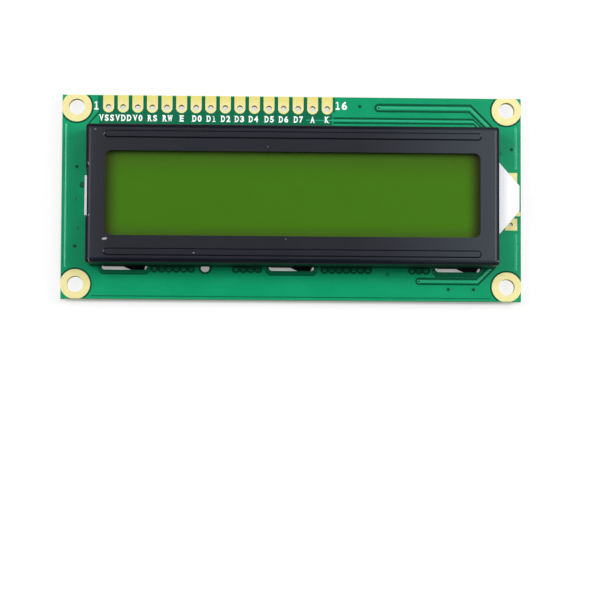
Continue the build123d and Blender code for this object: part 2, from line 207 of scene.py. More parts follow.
def solder_mask():
    """Green lacquer over copper, and the cut laminate at the board's edges."""
    finish = Finish("solder_mask", Specular_IOR_Level=0.15)
    cloudy = finish.noise(0.22, 3.0)
    weave = finish.noise(2.4, 2.0)
    face = finish.mix(cloudy, srgb(0, 136, 90), srgb(5, 152, 104))
    laminate = finish.mix(finish.noise(5.0, 3.0), srgb(96, 150, 92), srgb(150, 180, 118))
    flat = abs(finish.facing_up()).rise(0.4, 0.6)
    finish.set(Base_Color=finish.mix(flat, laminate, face))
    finish.set(Roughness=0.62 - 0.42 * flat + 0.06 * cloudy)
    finish.bump(weave * 0.6 + cloudy * 0.4, 0.006)
    return finish.material


def gold():
    """Thin gold on copper lands, cloudy, finely scratched, deeper at the header edge."""
    finish = Finish("gold_plating", Metallic=0.12, Specular_IOR_Level=0.3)
    cloudy = finish.noise(0.9, 3.0)
    scratch = finish.noise(3.0, 4.0, 0.6, (1, 5, 1))
    tone = finish.mix(cloudy, srgb(214, 203, 134), srgb(226, 218, 160))
    at_edge = finish.y.rise(HEADER_EDGE - 1.9, HEADER_EDGE - 0.3)
    clear_of_mounts = abs(finish.x).rise(34.6, 34.2)
    deep = at_edge * clear_of_mounts
    finish.set(Base_Color=finish.mix(deep * 0.75, tone, srgb(210, 199, 98)))
    finish.set(Roughness=0.3 + 0.22 * scratch)
    finish.bump(scratch, 0.006)
    return finish.material


def solder():
    """Bright tin with frozen ripples."""
    finish = Finish("solder", Metallic=0.9)
    ripple = finish.noise(3.5, 3.0)
    finish.set(Base_Color=finish.mix(ripple, srgb(166, 168, 170), srgb(222, 222, 218)))
    finish.set(Roughness=0.2 + 0.25 * ripple)
    finish.bump(ripple, 0.05)
    return finish.material


# chips in the bezel's paint, and painted glints at the ends of the beads: middle, half axes, and turn in
# degrees
CHIPS_AND_GLINTS = (
    (-32.25, -8.25, 0.45, 0.2, 10), (-32.35, -10.35, 0.2, 0.07, 50), (-32.4, 9.9, 0.3, 0.05, 55),
    (-34.0, 10.6, 0.14, 0.08, 0), (-17.0, -10.6, 0.12, 0.1, 0), (-35.1, 4.7, 0.06, 0.35, 20),
    (-35.0, -4.2, 0.16, 0.08, 40), (-34.9, -11.9, 0.05, 0.4, 15), (32.3, 10.1, 0.08, 0.08, 0),
    (35.3, -11.6, 0.16, 0.08, 0), (-4.4, 7.8, 0.08, 0.06, 0), (-1.2, -8.1, 0.1, 0.05, 0),
)


def bezel_paint():
    """Black satin paint on steel: orange peel, dust, a few chips, painted glints at the beads' ends, and a
    painted sheen on the face towards the right end.
    """
    finish = Finish("bezel_paint", Specular_IOR_Level=0.2)
    cloudy = finish.noise(0.12, 3.0)
    peel = finish.noise(6.0, 2.0)
    dust = finish.cells(1.1).rise(0.05, 0.02)
    # chips to the bare metal, and painted glints at the beads' ends in the same grey
    chips_and_glints = finish.blot(*CHIPS_AND_GLINTS[0])
    for mark in CHIPS_AND_GLINTS[1:]:
        chips_and_glints = chips_and_glints.maximum(finish.blot(*mark))
    paint = finish.mix(cloudy, srgb(12, 14, 23), srgb(18, 21, 32))
    # painted sheen: the upward face is lighter towards the right end and a little at the left end, where
    # the light falls
    painted_sheen = finish.x.rise(8.0, 42.0).maximum(finish.x.rise(-31.0, -37.0) * 0.35)
    painted_sheen = painted_sheen * finish.facing_up().rise(0.7, 0.95)
    paint = finish.mix(painted_sheen, paint, srgb(47, 53, 62))
    paint = finish.mix(dust * 0.35, paint, srgb(82, 82, 90))
    finish.set(Base_Color=finish.mix(chips_and_glints, paint, srgb(150, 150, 156)))
    finish.set(Roughness=0.3 + 0.06 * cloudy + 0.05 * peel)
    finish.bump(peel * 0.5 - chips_and_glints, 0.006)
    return finish.material


def resin():
    """Glossy black potting resin with shallow sink marks."""
    finish = Finish("potting_resin", Coat_Weight=0.4, Coat_Roughness=0.06)
    sink = finish.noise(0.3, 2.0)
    finish.set(Base_Color=finish.mix(sink, srgb(14, 13, 16), srgb(24, 22, 26)))
    finish.set(Roughness=0.22 + 0.12 * finish.noise(2.0, 3.0))
    finish.bump(sink, 0.06)
    return finish.material


def clear_layer(name, colour, alpha, roughness):
    """A clear sheet of the display, glass or polarizer film, with dark cut edges."""
    finish = Finish(name, Roughness=roughness, IOR=1.5)
    haze = finish.noise(0.4, 2.0)
    edge = abs(finish.facing_up()).rise(0.5, 0.3)
    finish.set(Base_Color=finish.mix(edge, colour, srgb(40, 48, 30)))
    finish.set(Alpha=(alpha + 0.01 * haze).maximum(edge))
    return finish.material


def lcd_green():
    """Yellow-green cell behind the front glass, with painted shade towards the window's edges on top of
    the shadow the bezel's sheet casts.
    """
    finish = Finish("cell_green", Roughness=0.6, Specular_IOR_Level=0.03)
    cloudy = finish.noise(0.05, 2.0)
    grain = finish.noise(9.0, 2.0)
    tone = finish.mix(cloudy, srgb(59, 111, 2), srgb(64, 117, 4))
    tone = finish.mix(grain * 0.2, tone, srgb(52, 102, 2))
    # painted shade: darker towards each edge of the window, most at the sides and the top
    left = (finish.x - WINDOW_LOW[0]).rise(-1.3, 2.9)
    right = (WINDOW_HIGH[0] - finish.x).rise(-0.5, 2.4)
    top = (WINDOW_HIGH[1] - finish.y).rise(-0.4, 5.0) * 0.4 + 0.6
    foot = (finish.y - WINDOW_LOW[1]).rise(-0.4, 2.8) * 0.5 + 0.5
    finish.set(Base_Color=finish.mix(left * right * top * foot, srgb(58, 56, 22), tone))
    finish.bump(grain, 0.004)
    return finish.material


def plain(name, dark, light, per_mm, roughness, depth=0.01, **constants):
    """A quiet surface whose colour, gloss and relief follow one noise."""
    finish = Finish(name, **constants)
    grain = finish.noise(per_mm, 3.0)
    finish.set(Base_Color=finish.mix(grain, dark, light))
    finish.set(Roughness=roughness - 0.06 + 0.12 * grain)
    finish.bump(grain, depth)
    return finish.material


def ceramic_chip():
    """White alumina with a black glaze on the face that looks away from the board."""
    finish = Finish("chip_body", Coat_Weight=0.3, Coat_Roughness=0.15)
    grain = finish.noise(4.0, 3.0)
    glaze = finish.mix(grain, srgb(20, 20, 22), srgb(34, 34, 37))
    alumina = finish.mix(grain, srgb(196, 192, 184), srgb(222, 219, 212))
    top = finish.facing_up().rise(-0.6, -0.8)
    finish.set(Base_Color=finish.mix(top, alumina, glaze), Roughness=0.3 + 0.15 * grain)
    finish.bump(grain, 0.01)
    return finish.material


def zebra_rubber():
    """Connector strip: conducting layers between clear ones, across the strip."""
    finish = Finish("connector_rubber", Roughness=0.6)
    stripe = (finish.x * 14.0).math("SINE").rise(-0.3, 0.3)
    finish.set(Base_Color=finish.mix(stripe, srgb(40, 40, 42), srgb(176, 168, 158)))
    finish.bump(finish.noise(3.0, 2.0), 0.01)
    return finish.material


GOLD = gold()
SOLDER = solder()
FINISHES = {
    "circuit_board": solder_mask(),
    "bezel": bezel_paint(),
    "controller_resin_dome": resin(),
    "front_polarizer": clear_layer("front_film", srgb(60, 80, 10), 0.02, 0.25),
    "front_glass": clear_layer("front_pane", srgb(120, 150, 110), 0.01, 0.06),
    "rear_glass": lcd_green(),
    "rear_polarizer": plain("rear_film", srgb(64, 70, 50), srgb(78, 84, 60), 1.0, 0.4),
    "glass_seal": plain("edge_seal", srgb(60, 64, 50), srgb(84, 88, 70), 2.0, 0.5),
    "light_guide": plain(
        "light_guide", srgb(226, 227, 228), srgb(240, 241, 241), 0.6, 0.42, Subsurface_Weight=0.15,
        Subsurface_Scale=0.002,
    ),
    "diffuser_film": plain("diffuser", srgb(228, 228, 226), srgb(240, 240, 238), 1.5, 0.6),
    "tongue_cover_film": plain("cover_film", srgb(248, 250, 255), srgb(252, 254, 255), 0.8, 0.45),
    "backlight_lamp": plain("lamp_body", srgb(206, 196, 160), srgb(232, 224, 196), 2.0, 0.35),
}
FINISHES["driver_resin_dome"] = FINISHES["controller_resin_dome"]
FINISHES["reflector_film"] = FINISHES["diffuser_film"]
RUBBER = zebra_rubber()
CHIP = ceramic_chip()
for name in nodes:
    if name.endswith(("lands", "pads")) and name != "resistor_lands":
        FINISHES[name] = GOLD
    elif name.endswith(("solder", "caps", "lead_1", "lead_2")) or name == "resistor_lands":
        FINISHES[name] = SOLDER
    elif name.endswith("rubber_strip"):
        FINISHES[name] = RUBBER
    elif name.startswith("resistor"):
        FINISHES[name] = CHIP
for name, node in nodes.items():
    node.data.materials.clear()
    node.data.materials.append(FINISHES[name])


PAD_PITCH = 2.54
PAD_COUNT = 16
PADS_LOW, PADS_HIGH = box_mm("header_pads")
PAD_HALF = (PADS_HIGH.x - PADS_LOW.x - (PAD_COUNT - 1) * PAD_PITCH) / 2
FIRST_PAD = PADS_LOW.x + PAD_HALF
LAST_PAD = PADS_HIGH.x - PAD_HALF
# half the width of the bare laminate between two pads
HALF_PAD_GAP = 0.57


def middle(node):
    """Centre of a CAD node in plan."""
    low, high = box_mm(node)
    return (low.x + high.x) / 2, (low.y + high.y) / 2


def put(name, data):
    """Make an object of a mesh, lamp or camera and put it in the scene."""
    made = bpy.data.objects.new(name, data)
    bpy.context.scene.collection.objects.link(made)
    return made


def circle(x, y, radius, start=0.0, end=360.0, steps=28):
    """Points along an arc, angles in degrees."""
    turns = [math.radians(start + (end - start) * step / steps) for step in range(steps + 1)]
    return [(x + radius * math.cos(turn), y + radius * math.sin(turn)) for turn in turns]


def slot_path(x, y, spread):
    """Closed line round a slot of the board, longer and wider than it by the spread."""
    length, width = SLOT_SIZE[0] + spread, SLOT_SIZE[1] + spread
    reach = (length - width) / 2
    right = circle(x + reach, y, width / 2, -90, 90, 8)
    left = circle(x - reach, y, width / 2, 90, 270, 8)
    return right + left + right[:1]


def frame_path(x0, y0, x1, y1):
    """Closed line round a rectangle."""
    return [(x0, y0), (x1, y0), (x1, y1), (x0, y1), (x0, y0)]


class Layer:
    """Thin work of one finish on one face of the board: side 1 is the front, -1 the back.

    Everything is drawn as it is read on that face and lies at height zero; the back
    is turned over when the layer is done. The rise is how far it stands off the board.
    """

    def __init__(self, name, finish, side, rise, slot="board"):
        self.name, self.finish, self.side, self.rise, self.slot = name, finish, side, rise, slot
        self.bm = bmesh.new()

    def take(self, data, x=0.0, y=0.0, height=None, width=None):
        """Add what a curve or text draws, and scale text to its height and width."""
        holder = bpy.data.objects.new(data.name, data)
        mesh = bpy.data.meshes.new_from_object(holder)
        bpy.data.objects.remove(holder)
        if height:
            spans = [[vertex.co[axis] for vertex in mesh.vertices] for axis in (0, 1)]
            low = Vector((min(spans[0]), min(spans[1]), 0))
            size = Vector((max(spans[0]), max(spans[1]), 0)) - low
            stretch = Vector((width * MM / size.x, height * MM / size.y, 1))
            mesh.transform(Matrix.Translation(-low - size / 2))
            mesh.transform(Matrix.Diagonal((*stretch, 1)))
            mesh.transform(Matrix.Translation((self.side * x * MM, y * MM, 0)))
        self.bm.from_mesh(mesh)
        bpy.data.meshes.remove(mesh)

    def lines(self, width, *runs):
        """Low ridges along runs of points; a run that ends where it starts is closed."""
        data = bpy.data.curves.new(self.name, "CURVE")
        data.dimensions = "3D"
        data.bevel_depth = width / 2 * MM
        data.bevel_resolution = 0
        data.use_fill_caps = True
        for run in runs:
            gap = math.dist(run[0], run[-1])
            closed = gap < 0.001
            points = run[:-1] if closed else run
            spline = data.splines.new("POLY")
            spline.use_cyclic_u = closed
            spline.points.add(len(points) - 1)
            for point, (x, y) in zip(spline.points, points):
                point.co = (self.side * x * MM, y * MM, 0, 1)
        before = set(self.bm.verts)
        self.take(data)
        ridge = [vertex for vertex in self.bm.verts if vertex not in before]
        bmesh.ops.scale(self.bm, verts=ridge, vec=(1, 1, self.rise / (width / 2)))

    def disc(self, x, y, radius, segments=16, rise=None):
        """Flat round spot, as high as the layer unless given its own rise."""
        bmesh.ops.create_cone(
            self.bm, cap_ends=True, segments=segments, radius1=radius * MM, radius2=radius * MM,
            depth=2 * (rise or self.rise) * MM,
            matrix=Matrix.Translation((self.side * x * MM, y * MM, 0)),
        )

    def patch(self, x0, y0, x1, y1, corner=0.0):
        """Flat rectangle with round corners."""
        centre = Matrix.Translation((self.side * (x0 + x1) / 2 * MM, (y0 + y1) / 2 * MM, 0))
        size = Matrix.Diagonal(((x1 - x0) * MM, (y1 - y0) * MM, 2 * self.rise * MM, 1))
        made = bmesh.ops.create_cube(self.bm, size=1.0, matrix=centre @ size)
        if corner:
            # each edge once, in the same order in every run
            edges = dict.fromkeys(edge for vertex in made["verts"] for edge in vertex.link_edges)
            upright = [e for e in edges if abs(e.verts[0].co.z - e.verts[1].co.z) > self.rise * MM]
            bmesh.ops.bevel(
                self.bm, geom=upright, offset=corner * MM, offset_type="OFFSET", affect="EDGES",
                segments=4, profile=0.5, material=-1,
            )

    def text(self, words, x, y, height, width, weight=0.0):
        """Words centred on a place, bold by so much of their size."""
        data = bpy.data.curves.new(self.name, "FONT")
        data.body = words
        data.extrude = self.rise * MM
        data.offset = weight
        data.resolution_u = 3
        self.take(data, x, y, height, width)

    def done(self):
        """Lay the work on its face of the board, as a piece of the scene."""
        if self.side < 0:
            turn = Matrix.Rotation(math.pi, 3, "Y")
            bmesh.ops.rotate(self.bm, verts=self.bm.verts, cent=(0, 0, 0), matrix=turn)
        face = FRONT if self.side > 0 else BACK
        bmesh.ops.translate(self.bm, verts=self.bm.verts, vec=(0, 0, face * MM))
        for facet in self.bm.faces:
            facet.smooth = False
        mesh = bpy.data.meshes.new(self.name)
        self.bm.to_mesh(mesh)
        self.bm.free()
        mesh.materials.append(self.finish)
        piece = put(self.name, mesh)
        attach(piece, "root")


def lacquer(name, dark, light, specular):
    """Green lacquer over one kind of ground: laminate, a copper edge or a trace."""
    return plain(name, dark, light, 3.0, 0.3, 0.003, Specular_IOR_Level=specular)


BARE = lacquer("mask_on_laminate", srgb(0, 94, 64), srgb(2, 107, 73), 0.08)
SHADE = lacquer("mask_at_copper_edge", srgb(0, 68, 46), srgb(0, 82, 56), 0.06)
RAISED = lacquer("mask_on_trace", srgb(8, 150, 108), srgb(20, 166, 122), 0.25)
# lacquer on the ridges at the board's ends, lighter than on a trace by a painted highlight
RIDGE_HIGHLIGHT = lacquer("mask_on_edge_ridge_painted_highlight", srgb(16, 166, 118), srgb(30, 180, 134), 0.4)
PLUGGED = lacquer("plugged_via", srgb(0, 40, 28), srgb(2, 52, 38), 0.1)
INK = plain("white_ink", srgb(244, 252, 248), srgb(252, 255, 254), 5.0, 0.55)
RIM = plain("bare_slot_rim", srgb(172, 172, 160), srgb(206, 204, 194), 4.0, 0.5)
CORNERS = [(x, y) for x in (-1, 1) for y in (-1, 1)]
# the board's holes and slots as the CAD part has them, and the gap round a mounting land
MOUNT = (37.5, 15.5)
MOUNT_LAND = 5.2
LAND_GAP = 0.32
SLOT_SIZE = (7.9, 1.17)
SLOT_ROWS = (11.375, -12.355)
SLOT_XS = (-29.0, 0.0, 29.0)
LOCATING = ((-15.0, -12.505), (15.0, 11.225))
LOCATING_HOLE = 1.5
# how far work stands off the board; two kinds that overlap never share a height
BACK_BARE_RISE = 0.006
BARE_RISE = 0.008
HALO_RISES = (0.009, 0.013)  # taken in turn by neighbours in a row of vias
POUR_RISE = 0.01
GAP_RISE = 0.014
TRACE_RISE = 0.02
HOLE_RISE = 0.024
INK_RISE = 0.028
TOP_RISE = 0.03
# places along X of the vias between the slots, from first place, pitch and count
VIA_ROWS = [
    [first + index * pitch for index in range(count)]
    for first, pitch, count in ((-23.8, 1.27, 6), (-9.65, 1.28, 4), (5.75, 1.26, 7), (21.0, 1.22, 3))
]
# vias and specks of the front that stand alone
FRONT_VIAS = (
    (-37.4, 5.0), (-37.6, -8.9), (38.35, 8.65), (27.3, -15.95), (31.7, -15.95), (11.8, 16.0),
)
FRONT_SPECKS = ((-37.25, -0.7), (-37.0, -5.8), (36.62, 7.95))


def land_gaps(layer):
    """Bare ring round each mounting land, where the board's edge doesn't cut it."""
    radius = (MOUNT_LAND + LAND_GAP) / 2
    for side_x, side_y in CORNERS:
        reach = HEADER_EDGE - MOUNT[1] if side_y > 0 else -MOUNT[1] - FAR_EDGE
        start = 180 - math.degrees(math.asin((reach - LAND_GAP / 2) / radius))
        arc = circle(0, 0, radius, start, 328)
        layer.lines(LAND_GAP, [(side_x * (MOUNT[0] + x), side_y * (MOUNT[1] + y)) for x, y in arc])


def locating_gaps(layer, width):
    """Bare ring round each locating hole."""
    for x, y in LOCATING:
        layer.lines(width, circle(x, y, (LOCATING_HOLE + width) / 2 + 0.02))


def header_gaps(layer, foot, last):
    """Bare laminate beside and between the header pads; the last reaches so far to the right."""
    for index in range(PAD_COUNT + 1):
        x = FIRST_PAD + (index - 0.5) * PAD_PITCH
        right = x + (HALF_PAD_GAP if index < PAD_COUNT else last)
        layer.patch(x - HALF_PAD_GAP, foot, right, HEADER_EDGE - 0.15)


def via(halo, ring, hole, x, y, reach, size, rise=None):
    """Small plated hole under the lacquer: reach of its bare surround, size of its ring."""
    thickness, plug = 0.24, 0.16
    if reach:
        halo.disc(x, y, reach, rise=rise)
    ring.lines(thickness, circle(x, y, size - thickness / 2, steps=12))
    hole.disc(x, y, plug, 10)


def front_artwork():
    """Copper, gaps and vias under the lacquer, as seen from the front."""
    bare = Layer("front_bare_areas", BARE, 1, BARE_RISE)
    gaps = Layer("front_trace_gaps", SHADE, 1, GAP_RISE)
    trace = Layer("front_traces", RAISED, 1, TRACE_RISE)
    hole = Layer("front_via_holes", PLUGGED, 1, HOLE_RISE)
    # bare laminate between the header pads, and behind the pin names
    names_top = 14.9
    header_gaps(bare, names_top, last=0.1)
    bare.patch(FIRST_PAD - 1.6, SLOT_ROWS[0] + 0.7, LAST_PAD + 0.9, names_top)
    gaps.lines(0.3, [(-33.4, 15.0), (-33.75, 14.4), (-35.3, 12.75), (-35.3, 12.0)])
    # the two traces from the header's end to the lamp's wires
    gaps.lines(0.4, [(15.1, 16.35), (31.2, 16.35), (35.1, 12.45)])
    gaps.lines(0.4, [(15.1, 15.2), (31.0, 15.2), (34.0, 12.2)])
    gaps.lines(0.36, [(7.2, 13.9), (31.6, 13.9), (33.4, 12.1)])
    gaps.lines(0.36, [(7.2, 13.1), (31.8, 13.1), (32.6, 12.3)])
    gaps.lines(0.4, circle(15.1, 15.77, 0.58, 90, 270, 10))
    trace.lines(0.3, [(2.4, 13.5), (31.7, 13.5), (33.2, 12.0)])
    trace.lines(0.44, [(15.2, 15.77), (31.1, 15.77), (34.7, 12.17)])
    via(gaps, trace, hole, 15.1, 15.77, reach=0, size=0.36)
    # the trace below the last slot
    bare.patch(25.0, -14.0, 32.4, -13.7, corner=0.1)
    gaps.lines(0.36, [(22.2, -14.1), (32.2, -14.1), (34.4, -11.9)])
    gaps.lines(0.36, [(22.2, -15.05), (32.5, -15.05), (35.6, -11.95)])
    gaps.lines(0.36, circle(22.2, -14.58, 0.48, 90, 270, 10))
    trace.lines(0.4, [(22.3, -14.58), (32.4, -14.58), (35.0, -11.95)])
    via(gaps, trace, hole, 22.2, -14.58, reach=0, size=0.34)
    # rows of vias between the slots
    for row in VIA_ROWS:
        for index, x in enumerate(row):
            gaps.patch(x - 0.4, -12.8, x + 0.4, -11.9)
            rise = HALO_RISES[index % 2]
            via(gaps, trace, hole, x, -12.72, reach=0.72, size=0.36, rise=rise)
    for x, y in FRONT_VIAS:
        bare.disc(x, y, 0.34)
        hole.disc(x, y, 0.17, 10)
    for x, y in FRONT_SPECKS:
        bare.disc(x, y, 0.26)
        trace.disc(x + 0.08, y, 0.13, 10)
    via(gaps, trace, hole, -36.4, 1.8, reach=0.5, size=0.34)
    via(bare, trace, hole, 16.7, -13.45, reach=0.36, size=0.26)
    # bare surround of the slots, wider on the side that shows
    slot_side = SLOT_ROWS[1] - SLOT_SIZE[1] / 2
    reach, foot, corner = SLOT_SIZE[0] / 2 + 0.42, slot_side - 0.72, 0.5
    for x in SLOT_XS:
        for y in SLOT_ROWS:
            bare.lines(0.3, slot_path(x, y, spread=0.32))
        half = SLOT_SIZE[0] / 2 + 0.3
        bare.patch(x - half, slot_side - 0.65, x + half, slot_side - 0.02, corner=0.3)
        gaps.lines(
            0.22,
            [
                (x - reach, SLOT_ROWS[1]), (x - reach, foot + corner), (x - reach + corner, foot),
                (x + reach - corner, foot), (x + reach, foot + corner), (x + reach, SLOT_ROWS[1]),
            ],
        )
    locating_gaps(gaps, 0.36)
    land_gaps(gaps)
    # a ridge along the ends, the left one lighter by a painted highlight, and bare laminate along the far
    # edge
    end = Layer("front_end_ridges", RIDGE_HIGHLIGHT, 1, TRACE_RISE)
    end.lines(0.3, [(-39.3, -12.6), (-39.3, 12.6)])
    trace.lines(0.5, [(39.1, 12.6), (39.1, 5.2)], [(39.1, -6.2), (39.1, -12.6)])
    bare.lines(0.2, [(-34.7, FAR_EDGE + 0.5), (34.7, FAR_EDGE + 0.5)])
    for layer in (bare, gaps, trace, end, hole):
        layer.done()
    land = Layer("lamp_land_edge", GOLD, 1, TOP_RISE, "gold")
    land.patch(38.3, -3.05, END - 0.08, -2.3)
    land.done()


def shifted(run, count, dx, dy):
    """Copies of a run of points, each a step further than the last."""
    return [[(x + index * dx, y + index * dy) for x, y in run] for index in range(count)]


# wide traces of the back, and its vias outside the rows
BACK_BUS = (
    [(-35.0, -16.9), (34.9, -16.9)],
    [(-33.3, 7.2), (-33.4, 6.6), (-35.3, 3.9), (-35.3, -0.2), (-36.2, -1.6), (-36.3, -12.5),
     (-32.4, -16.05), (23.3, -16.05), (24.9, -14.4), (24.9, -0.6), (25.4, -0.2)],
    [(-34.4, -7.8), (-35.5, -8.6), (-35.4, -12.2), (-32.2, -15.25), (22.9, -15.25), (24.2, -13.9),
     (24.2, -4.6), (26.2, -4.55)],
    [(-29.7, -8.0), (-34.0, -8.3), (-34.8, -9.4), (-34.8, -11.5), (-32.0, -14.4), (22.2, -14.4)],
    [(-36.9, 1.4), (-36.9, 5.0), (-34.2, 7.8), (-34.1, 11.3), (-32.7, 13.4), (-30.3, 13.6), (-29.6, 14.5)],
    [(-36.1, 1.4), (-36.1, 4.7), (-33.5, 7.4), (-33.4, 11.0), (-32.3, 12.7), (-29.9, 12.9), (-28.8, 14.2)],
    [(18.7, -0.8), (20.4, 0.9), (20.4, 6.9), (19.5, 8.0), (16.7, 8.0), (15.2, 6.6)],
    [(5.1, 13.2), (34.4, 13.2), (37.2, 11.1), (37.6, 5.7)], [(6.1, 14.2), (34.7, 14.15), (38.2, 11.5)],
    [(36.5, 4.4), (36.4, 10.6), (34.1, 12.4)], [(7.2, 15.1), (15.0, 15.1)],
    [(33.2, 1.0), (34.1, 1.8), (34.1, 4.9), (33.4, 5.6), (33.3, 6.6)],
)
BACK_VIAS = (
    (-34.35, -8.9), (-37.6, -8.9), (-34.3, -7.7), (-36.5, 1.8), (-37.6, 4.9), (-35.5, 8.3), (-34.7, 9.8),
    (-25.3, 7.1), (-19.2, -6.1), (-18.4, -6.9), (-18.5, -5.4), (-19.2, -4.8), (-13.3, -8.1), (-12.3, -7.7),
    (-9.5, -8.6), (-4.4, -7.5), (-5.4, -6.7), (-4.4, -6.1), (-5.4, -5.4), (-4.4, -4.6), (-4.2, -8.7),
    (1.3, -4.7), (2.5, -4.8), (4.1, -4.8), (1.9, -3.9), (3.3, -4.0), (2.9, 1.3), (1.8, 2.7), (2.6, 3.4),
    (3.6, 3.5), (4.6, 4.1), (5.6, 3.6), (6.5, 4.3), (7.5, 3.7), (8.5, 4.3), (8.9, -4.4), (8.2, -3.3),
    (7.4, -2.4), (6.6, -1.5), (5.8, -0.4), (22.4, -8.4), (23.3, -7.7), (22.3, -7.0), (23.4, -6.4),
    (22.4, -5.7), (23.3, -5.0), (22.3, -4.3), (23.2, -3.7), (22.3, -2.9), (22.4, 3.5), (21.8, 4.3),
    (22.5, 5.0), (21.8, 5.8), (22.6, 6.5), (21.7, 7.2), (17.8, 7.2), (17.0, 6.3), (-8.3, 11.2),
    (-7.2, 11.2), (11.9, 15.95), (15.2, 15.95), (16.7, -13.2), (27.3, -15.8), (31.7, -15.75),
    (22.3, -14.35),
)
# bare areas of the back; none reaches a slot or a locating hole
BACK_BARE_AREAS = (
    (-25.0, -8.0, 24.0, 8.3), (-24.5, 8.32, -4.5, 14.9), (-4.48, 12.2, 8.0, 14.9),
    (4.5, 8.32, 14.0, 12.18), (-24.5, -11.6, -17.0, -8.02), (-10.2, -11.6, -5.0, -8.02),
    (4.8, -11.6, 13.2, -8.02), (20.2, -11.6, 24.0, -8.02), (-4.98, -9.3, 4.78, -8.02),
    (13.22, -9.8, 20.18, -8.02), (-34.9, -7.0, -33.6, 6.0),
)
# width of the fine traces, and where they leave the rows of vias
FINE = 0.17
FINE_START = -12.25


def back_artwork():
    """Copper, gaps and vias under the lacquer, as seen from the back."""
    bare = Layer("back_bare_areas", BARE, -1, BACK_BARE_RISE)
    pour = Layer("back_pours", FINISHES["circuit_board"], -1, POUR_RISE)
    gaps = Layer("back_trace_gaps", SHADE, -1, GAP_RISE)
    trace = Layer("back_traces", RAISED, -1, TRACE_RISE)
    hole = Layer("back_via_holes", PLUGGED, -1, HOLE_RISE)
    for area in BACK_BARE_AREAS:
        bare.patch(*area)
    pour.patch(15.6, 1.4, 20.2, 7.2, corner=0.8)
    header_gaps(bare, 14.92, last=HALF_PAD_GAP)
    gaps.lines(0.32, *BACK_BUS)
    for x, y in BACK_VIAS:
        via(gaps, trace, hole, x, y, reach=0.42, size=0.3)
    trace.lines(
        0.3, [(-36.5, 1.9), (-36.5, 4.9), (-33.8, 7.6), (-33.75, 11.1), (-32.5, 13.0), (-30, 13.2)]
    )
    trace.lines(0.3, [(15.4, 15.95), (17.4, 15.95)], [(24.55, -14.0), (24.55, -4.9)])
    # rows of vias at the far side, and what leaves them
    for row in VIA_ROWS:
        for index, x in enumerate(row):
            rise = HALO_RISES[index % 2]
            via(gaps, trace, hole, x, -12.6, reach=0.66, size=0.34, rise=rise)
    first, second, third, fourth = VIA_ROWS
    for index, x in enumerate(first):
        turn = -9.2 - 0.34 * index
        trace.lines(FINE, [(x, FINE_START), (x, turn), (x + 4.2, turn + 4.2)])
    for index, x in enumerate(second):
        inner = -9.1 + 0.42 * index
        trace.lines(FINE, [(x, FINE_START), (x, -10.9), (inner, -9.6), (inner, -5.0)])
    for index, x in enumerate(third):
        level, bend = -8.5 + 0.38 * index, -10.9 + 0.3 * index
        far, near = x - (level - bend), -0.6 + 0.3 * index
        course = [(x, FINE_START), (x, bend), (far, level), (near, level), (near - 6.2, level + 6.2)]
        trace.lines(FINE, course)
    for index, x in enumerate(fourth):
        level, bend = -9.5 + 0.38 * index, -11.6 + 0.3 * index
        far, near = x - (level - bend), 10.6 - 0.5 * index
        trace.lines(FINE, [(x, FINE_START), (x, bend), (far, level), (near, level)])
    # bundles between the two chips, to the right of them and to the header
    trace.lines(FINE, *shifted([(-6.0, 1.4), (-1.6, -3.0), (0.8, -3.0)], 4, 0, 0.42))
    trace.lines(FINE, *shifted([(-7.5, 4.2), (-5.4, 2.1), (7.8, 2.1)], 3, 0, 0.5))
    trace.lines(FINE, *shifted([(4.9, -5.9), (4.9, -3.4), (2.6, -1.1), (-1.9, -1.1)], 7, 0.4, 0.36))
    trace.lines(FINE, *shifted([(10.6, -7.3), (20.6, -7.3)], 5, 0.1, 0.38))
    stair = [
        (21.6, -6.6), (19.6, -4.2), (20.3, -3.0), (20.3, -1.6), (24.3, 1.9), (24.3, 5.2), (23.1, 6.9),
    ]
    trace.lines(FINE, *shifted(stair, 6, -0.38, 0.12))
    for index in range(10):
        pad, level = -24.38 + PAD_PITCH * index, 12.7 - 0.4 * index
        upright, across, slope = -24.9 + 0.36 * index, 1.1 + 0.42 * index, 1.0 + 0.2 * index
        trace.lines(
            FINE,
            [
                (pad, 14.7), (pad, level + slope), (pad - slope, level), (upright + 0.9, level),
                (upright, level - 0.9), (upright, across + 0.9), (upright + 0.9, across), (-17.6, across),
            ],
        )
    trace.lines(FINE, *shifted([(-12.6, 5.6), (-7.4, 10.8)], 3, 0.7, 0))
    # surrounds of the slots' lands, the locating holes and the mounting lands
    for x in SLOT_XS:
        for y, inward in ((SLOT_ROWS[0], -1), (SLOT_ROWS[1], 1)):
            foot = y + inward * 3.75
            low, high = sorted((foot, y - inward * 1.0))
            gaps.lines(0.3, frame_path(x - 4.25, low, x + 4.25, high))
    locating_gaps(gaps, 0.4)
    land_gaps(gaps)
    # ridges along the back's ends, lighter by a painted highlight
    ridge = END - 0.62
    end = Layer("back_end_ridges", RIDGE_HIGHLIGHT, -1, TRACE_RISE)
    end.lines(0.26, [(-ridge, -12.6), (-ridge, 12.6)])
    end.lines(0.26, [(ridge, 12.6), (ridge, 6.0)], [(ridge, -6.0), (ridge, -12.6)])
    rim = Layer("back_slot_rims", RIM, -1, TOP_RISE)
    for x in SLOT_XS:
        for y in SLOT_ROWS:
            rim.lines(0.1, slot_path(x, y, spread=0.14))
    for layer in (bare, pour, gaps, trace, end, hole, rim):
        layer.done()


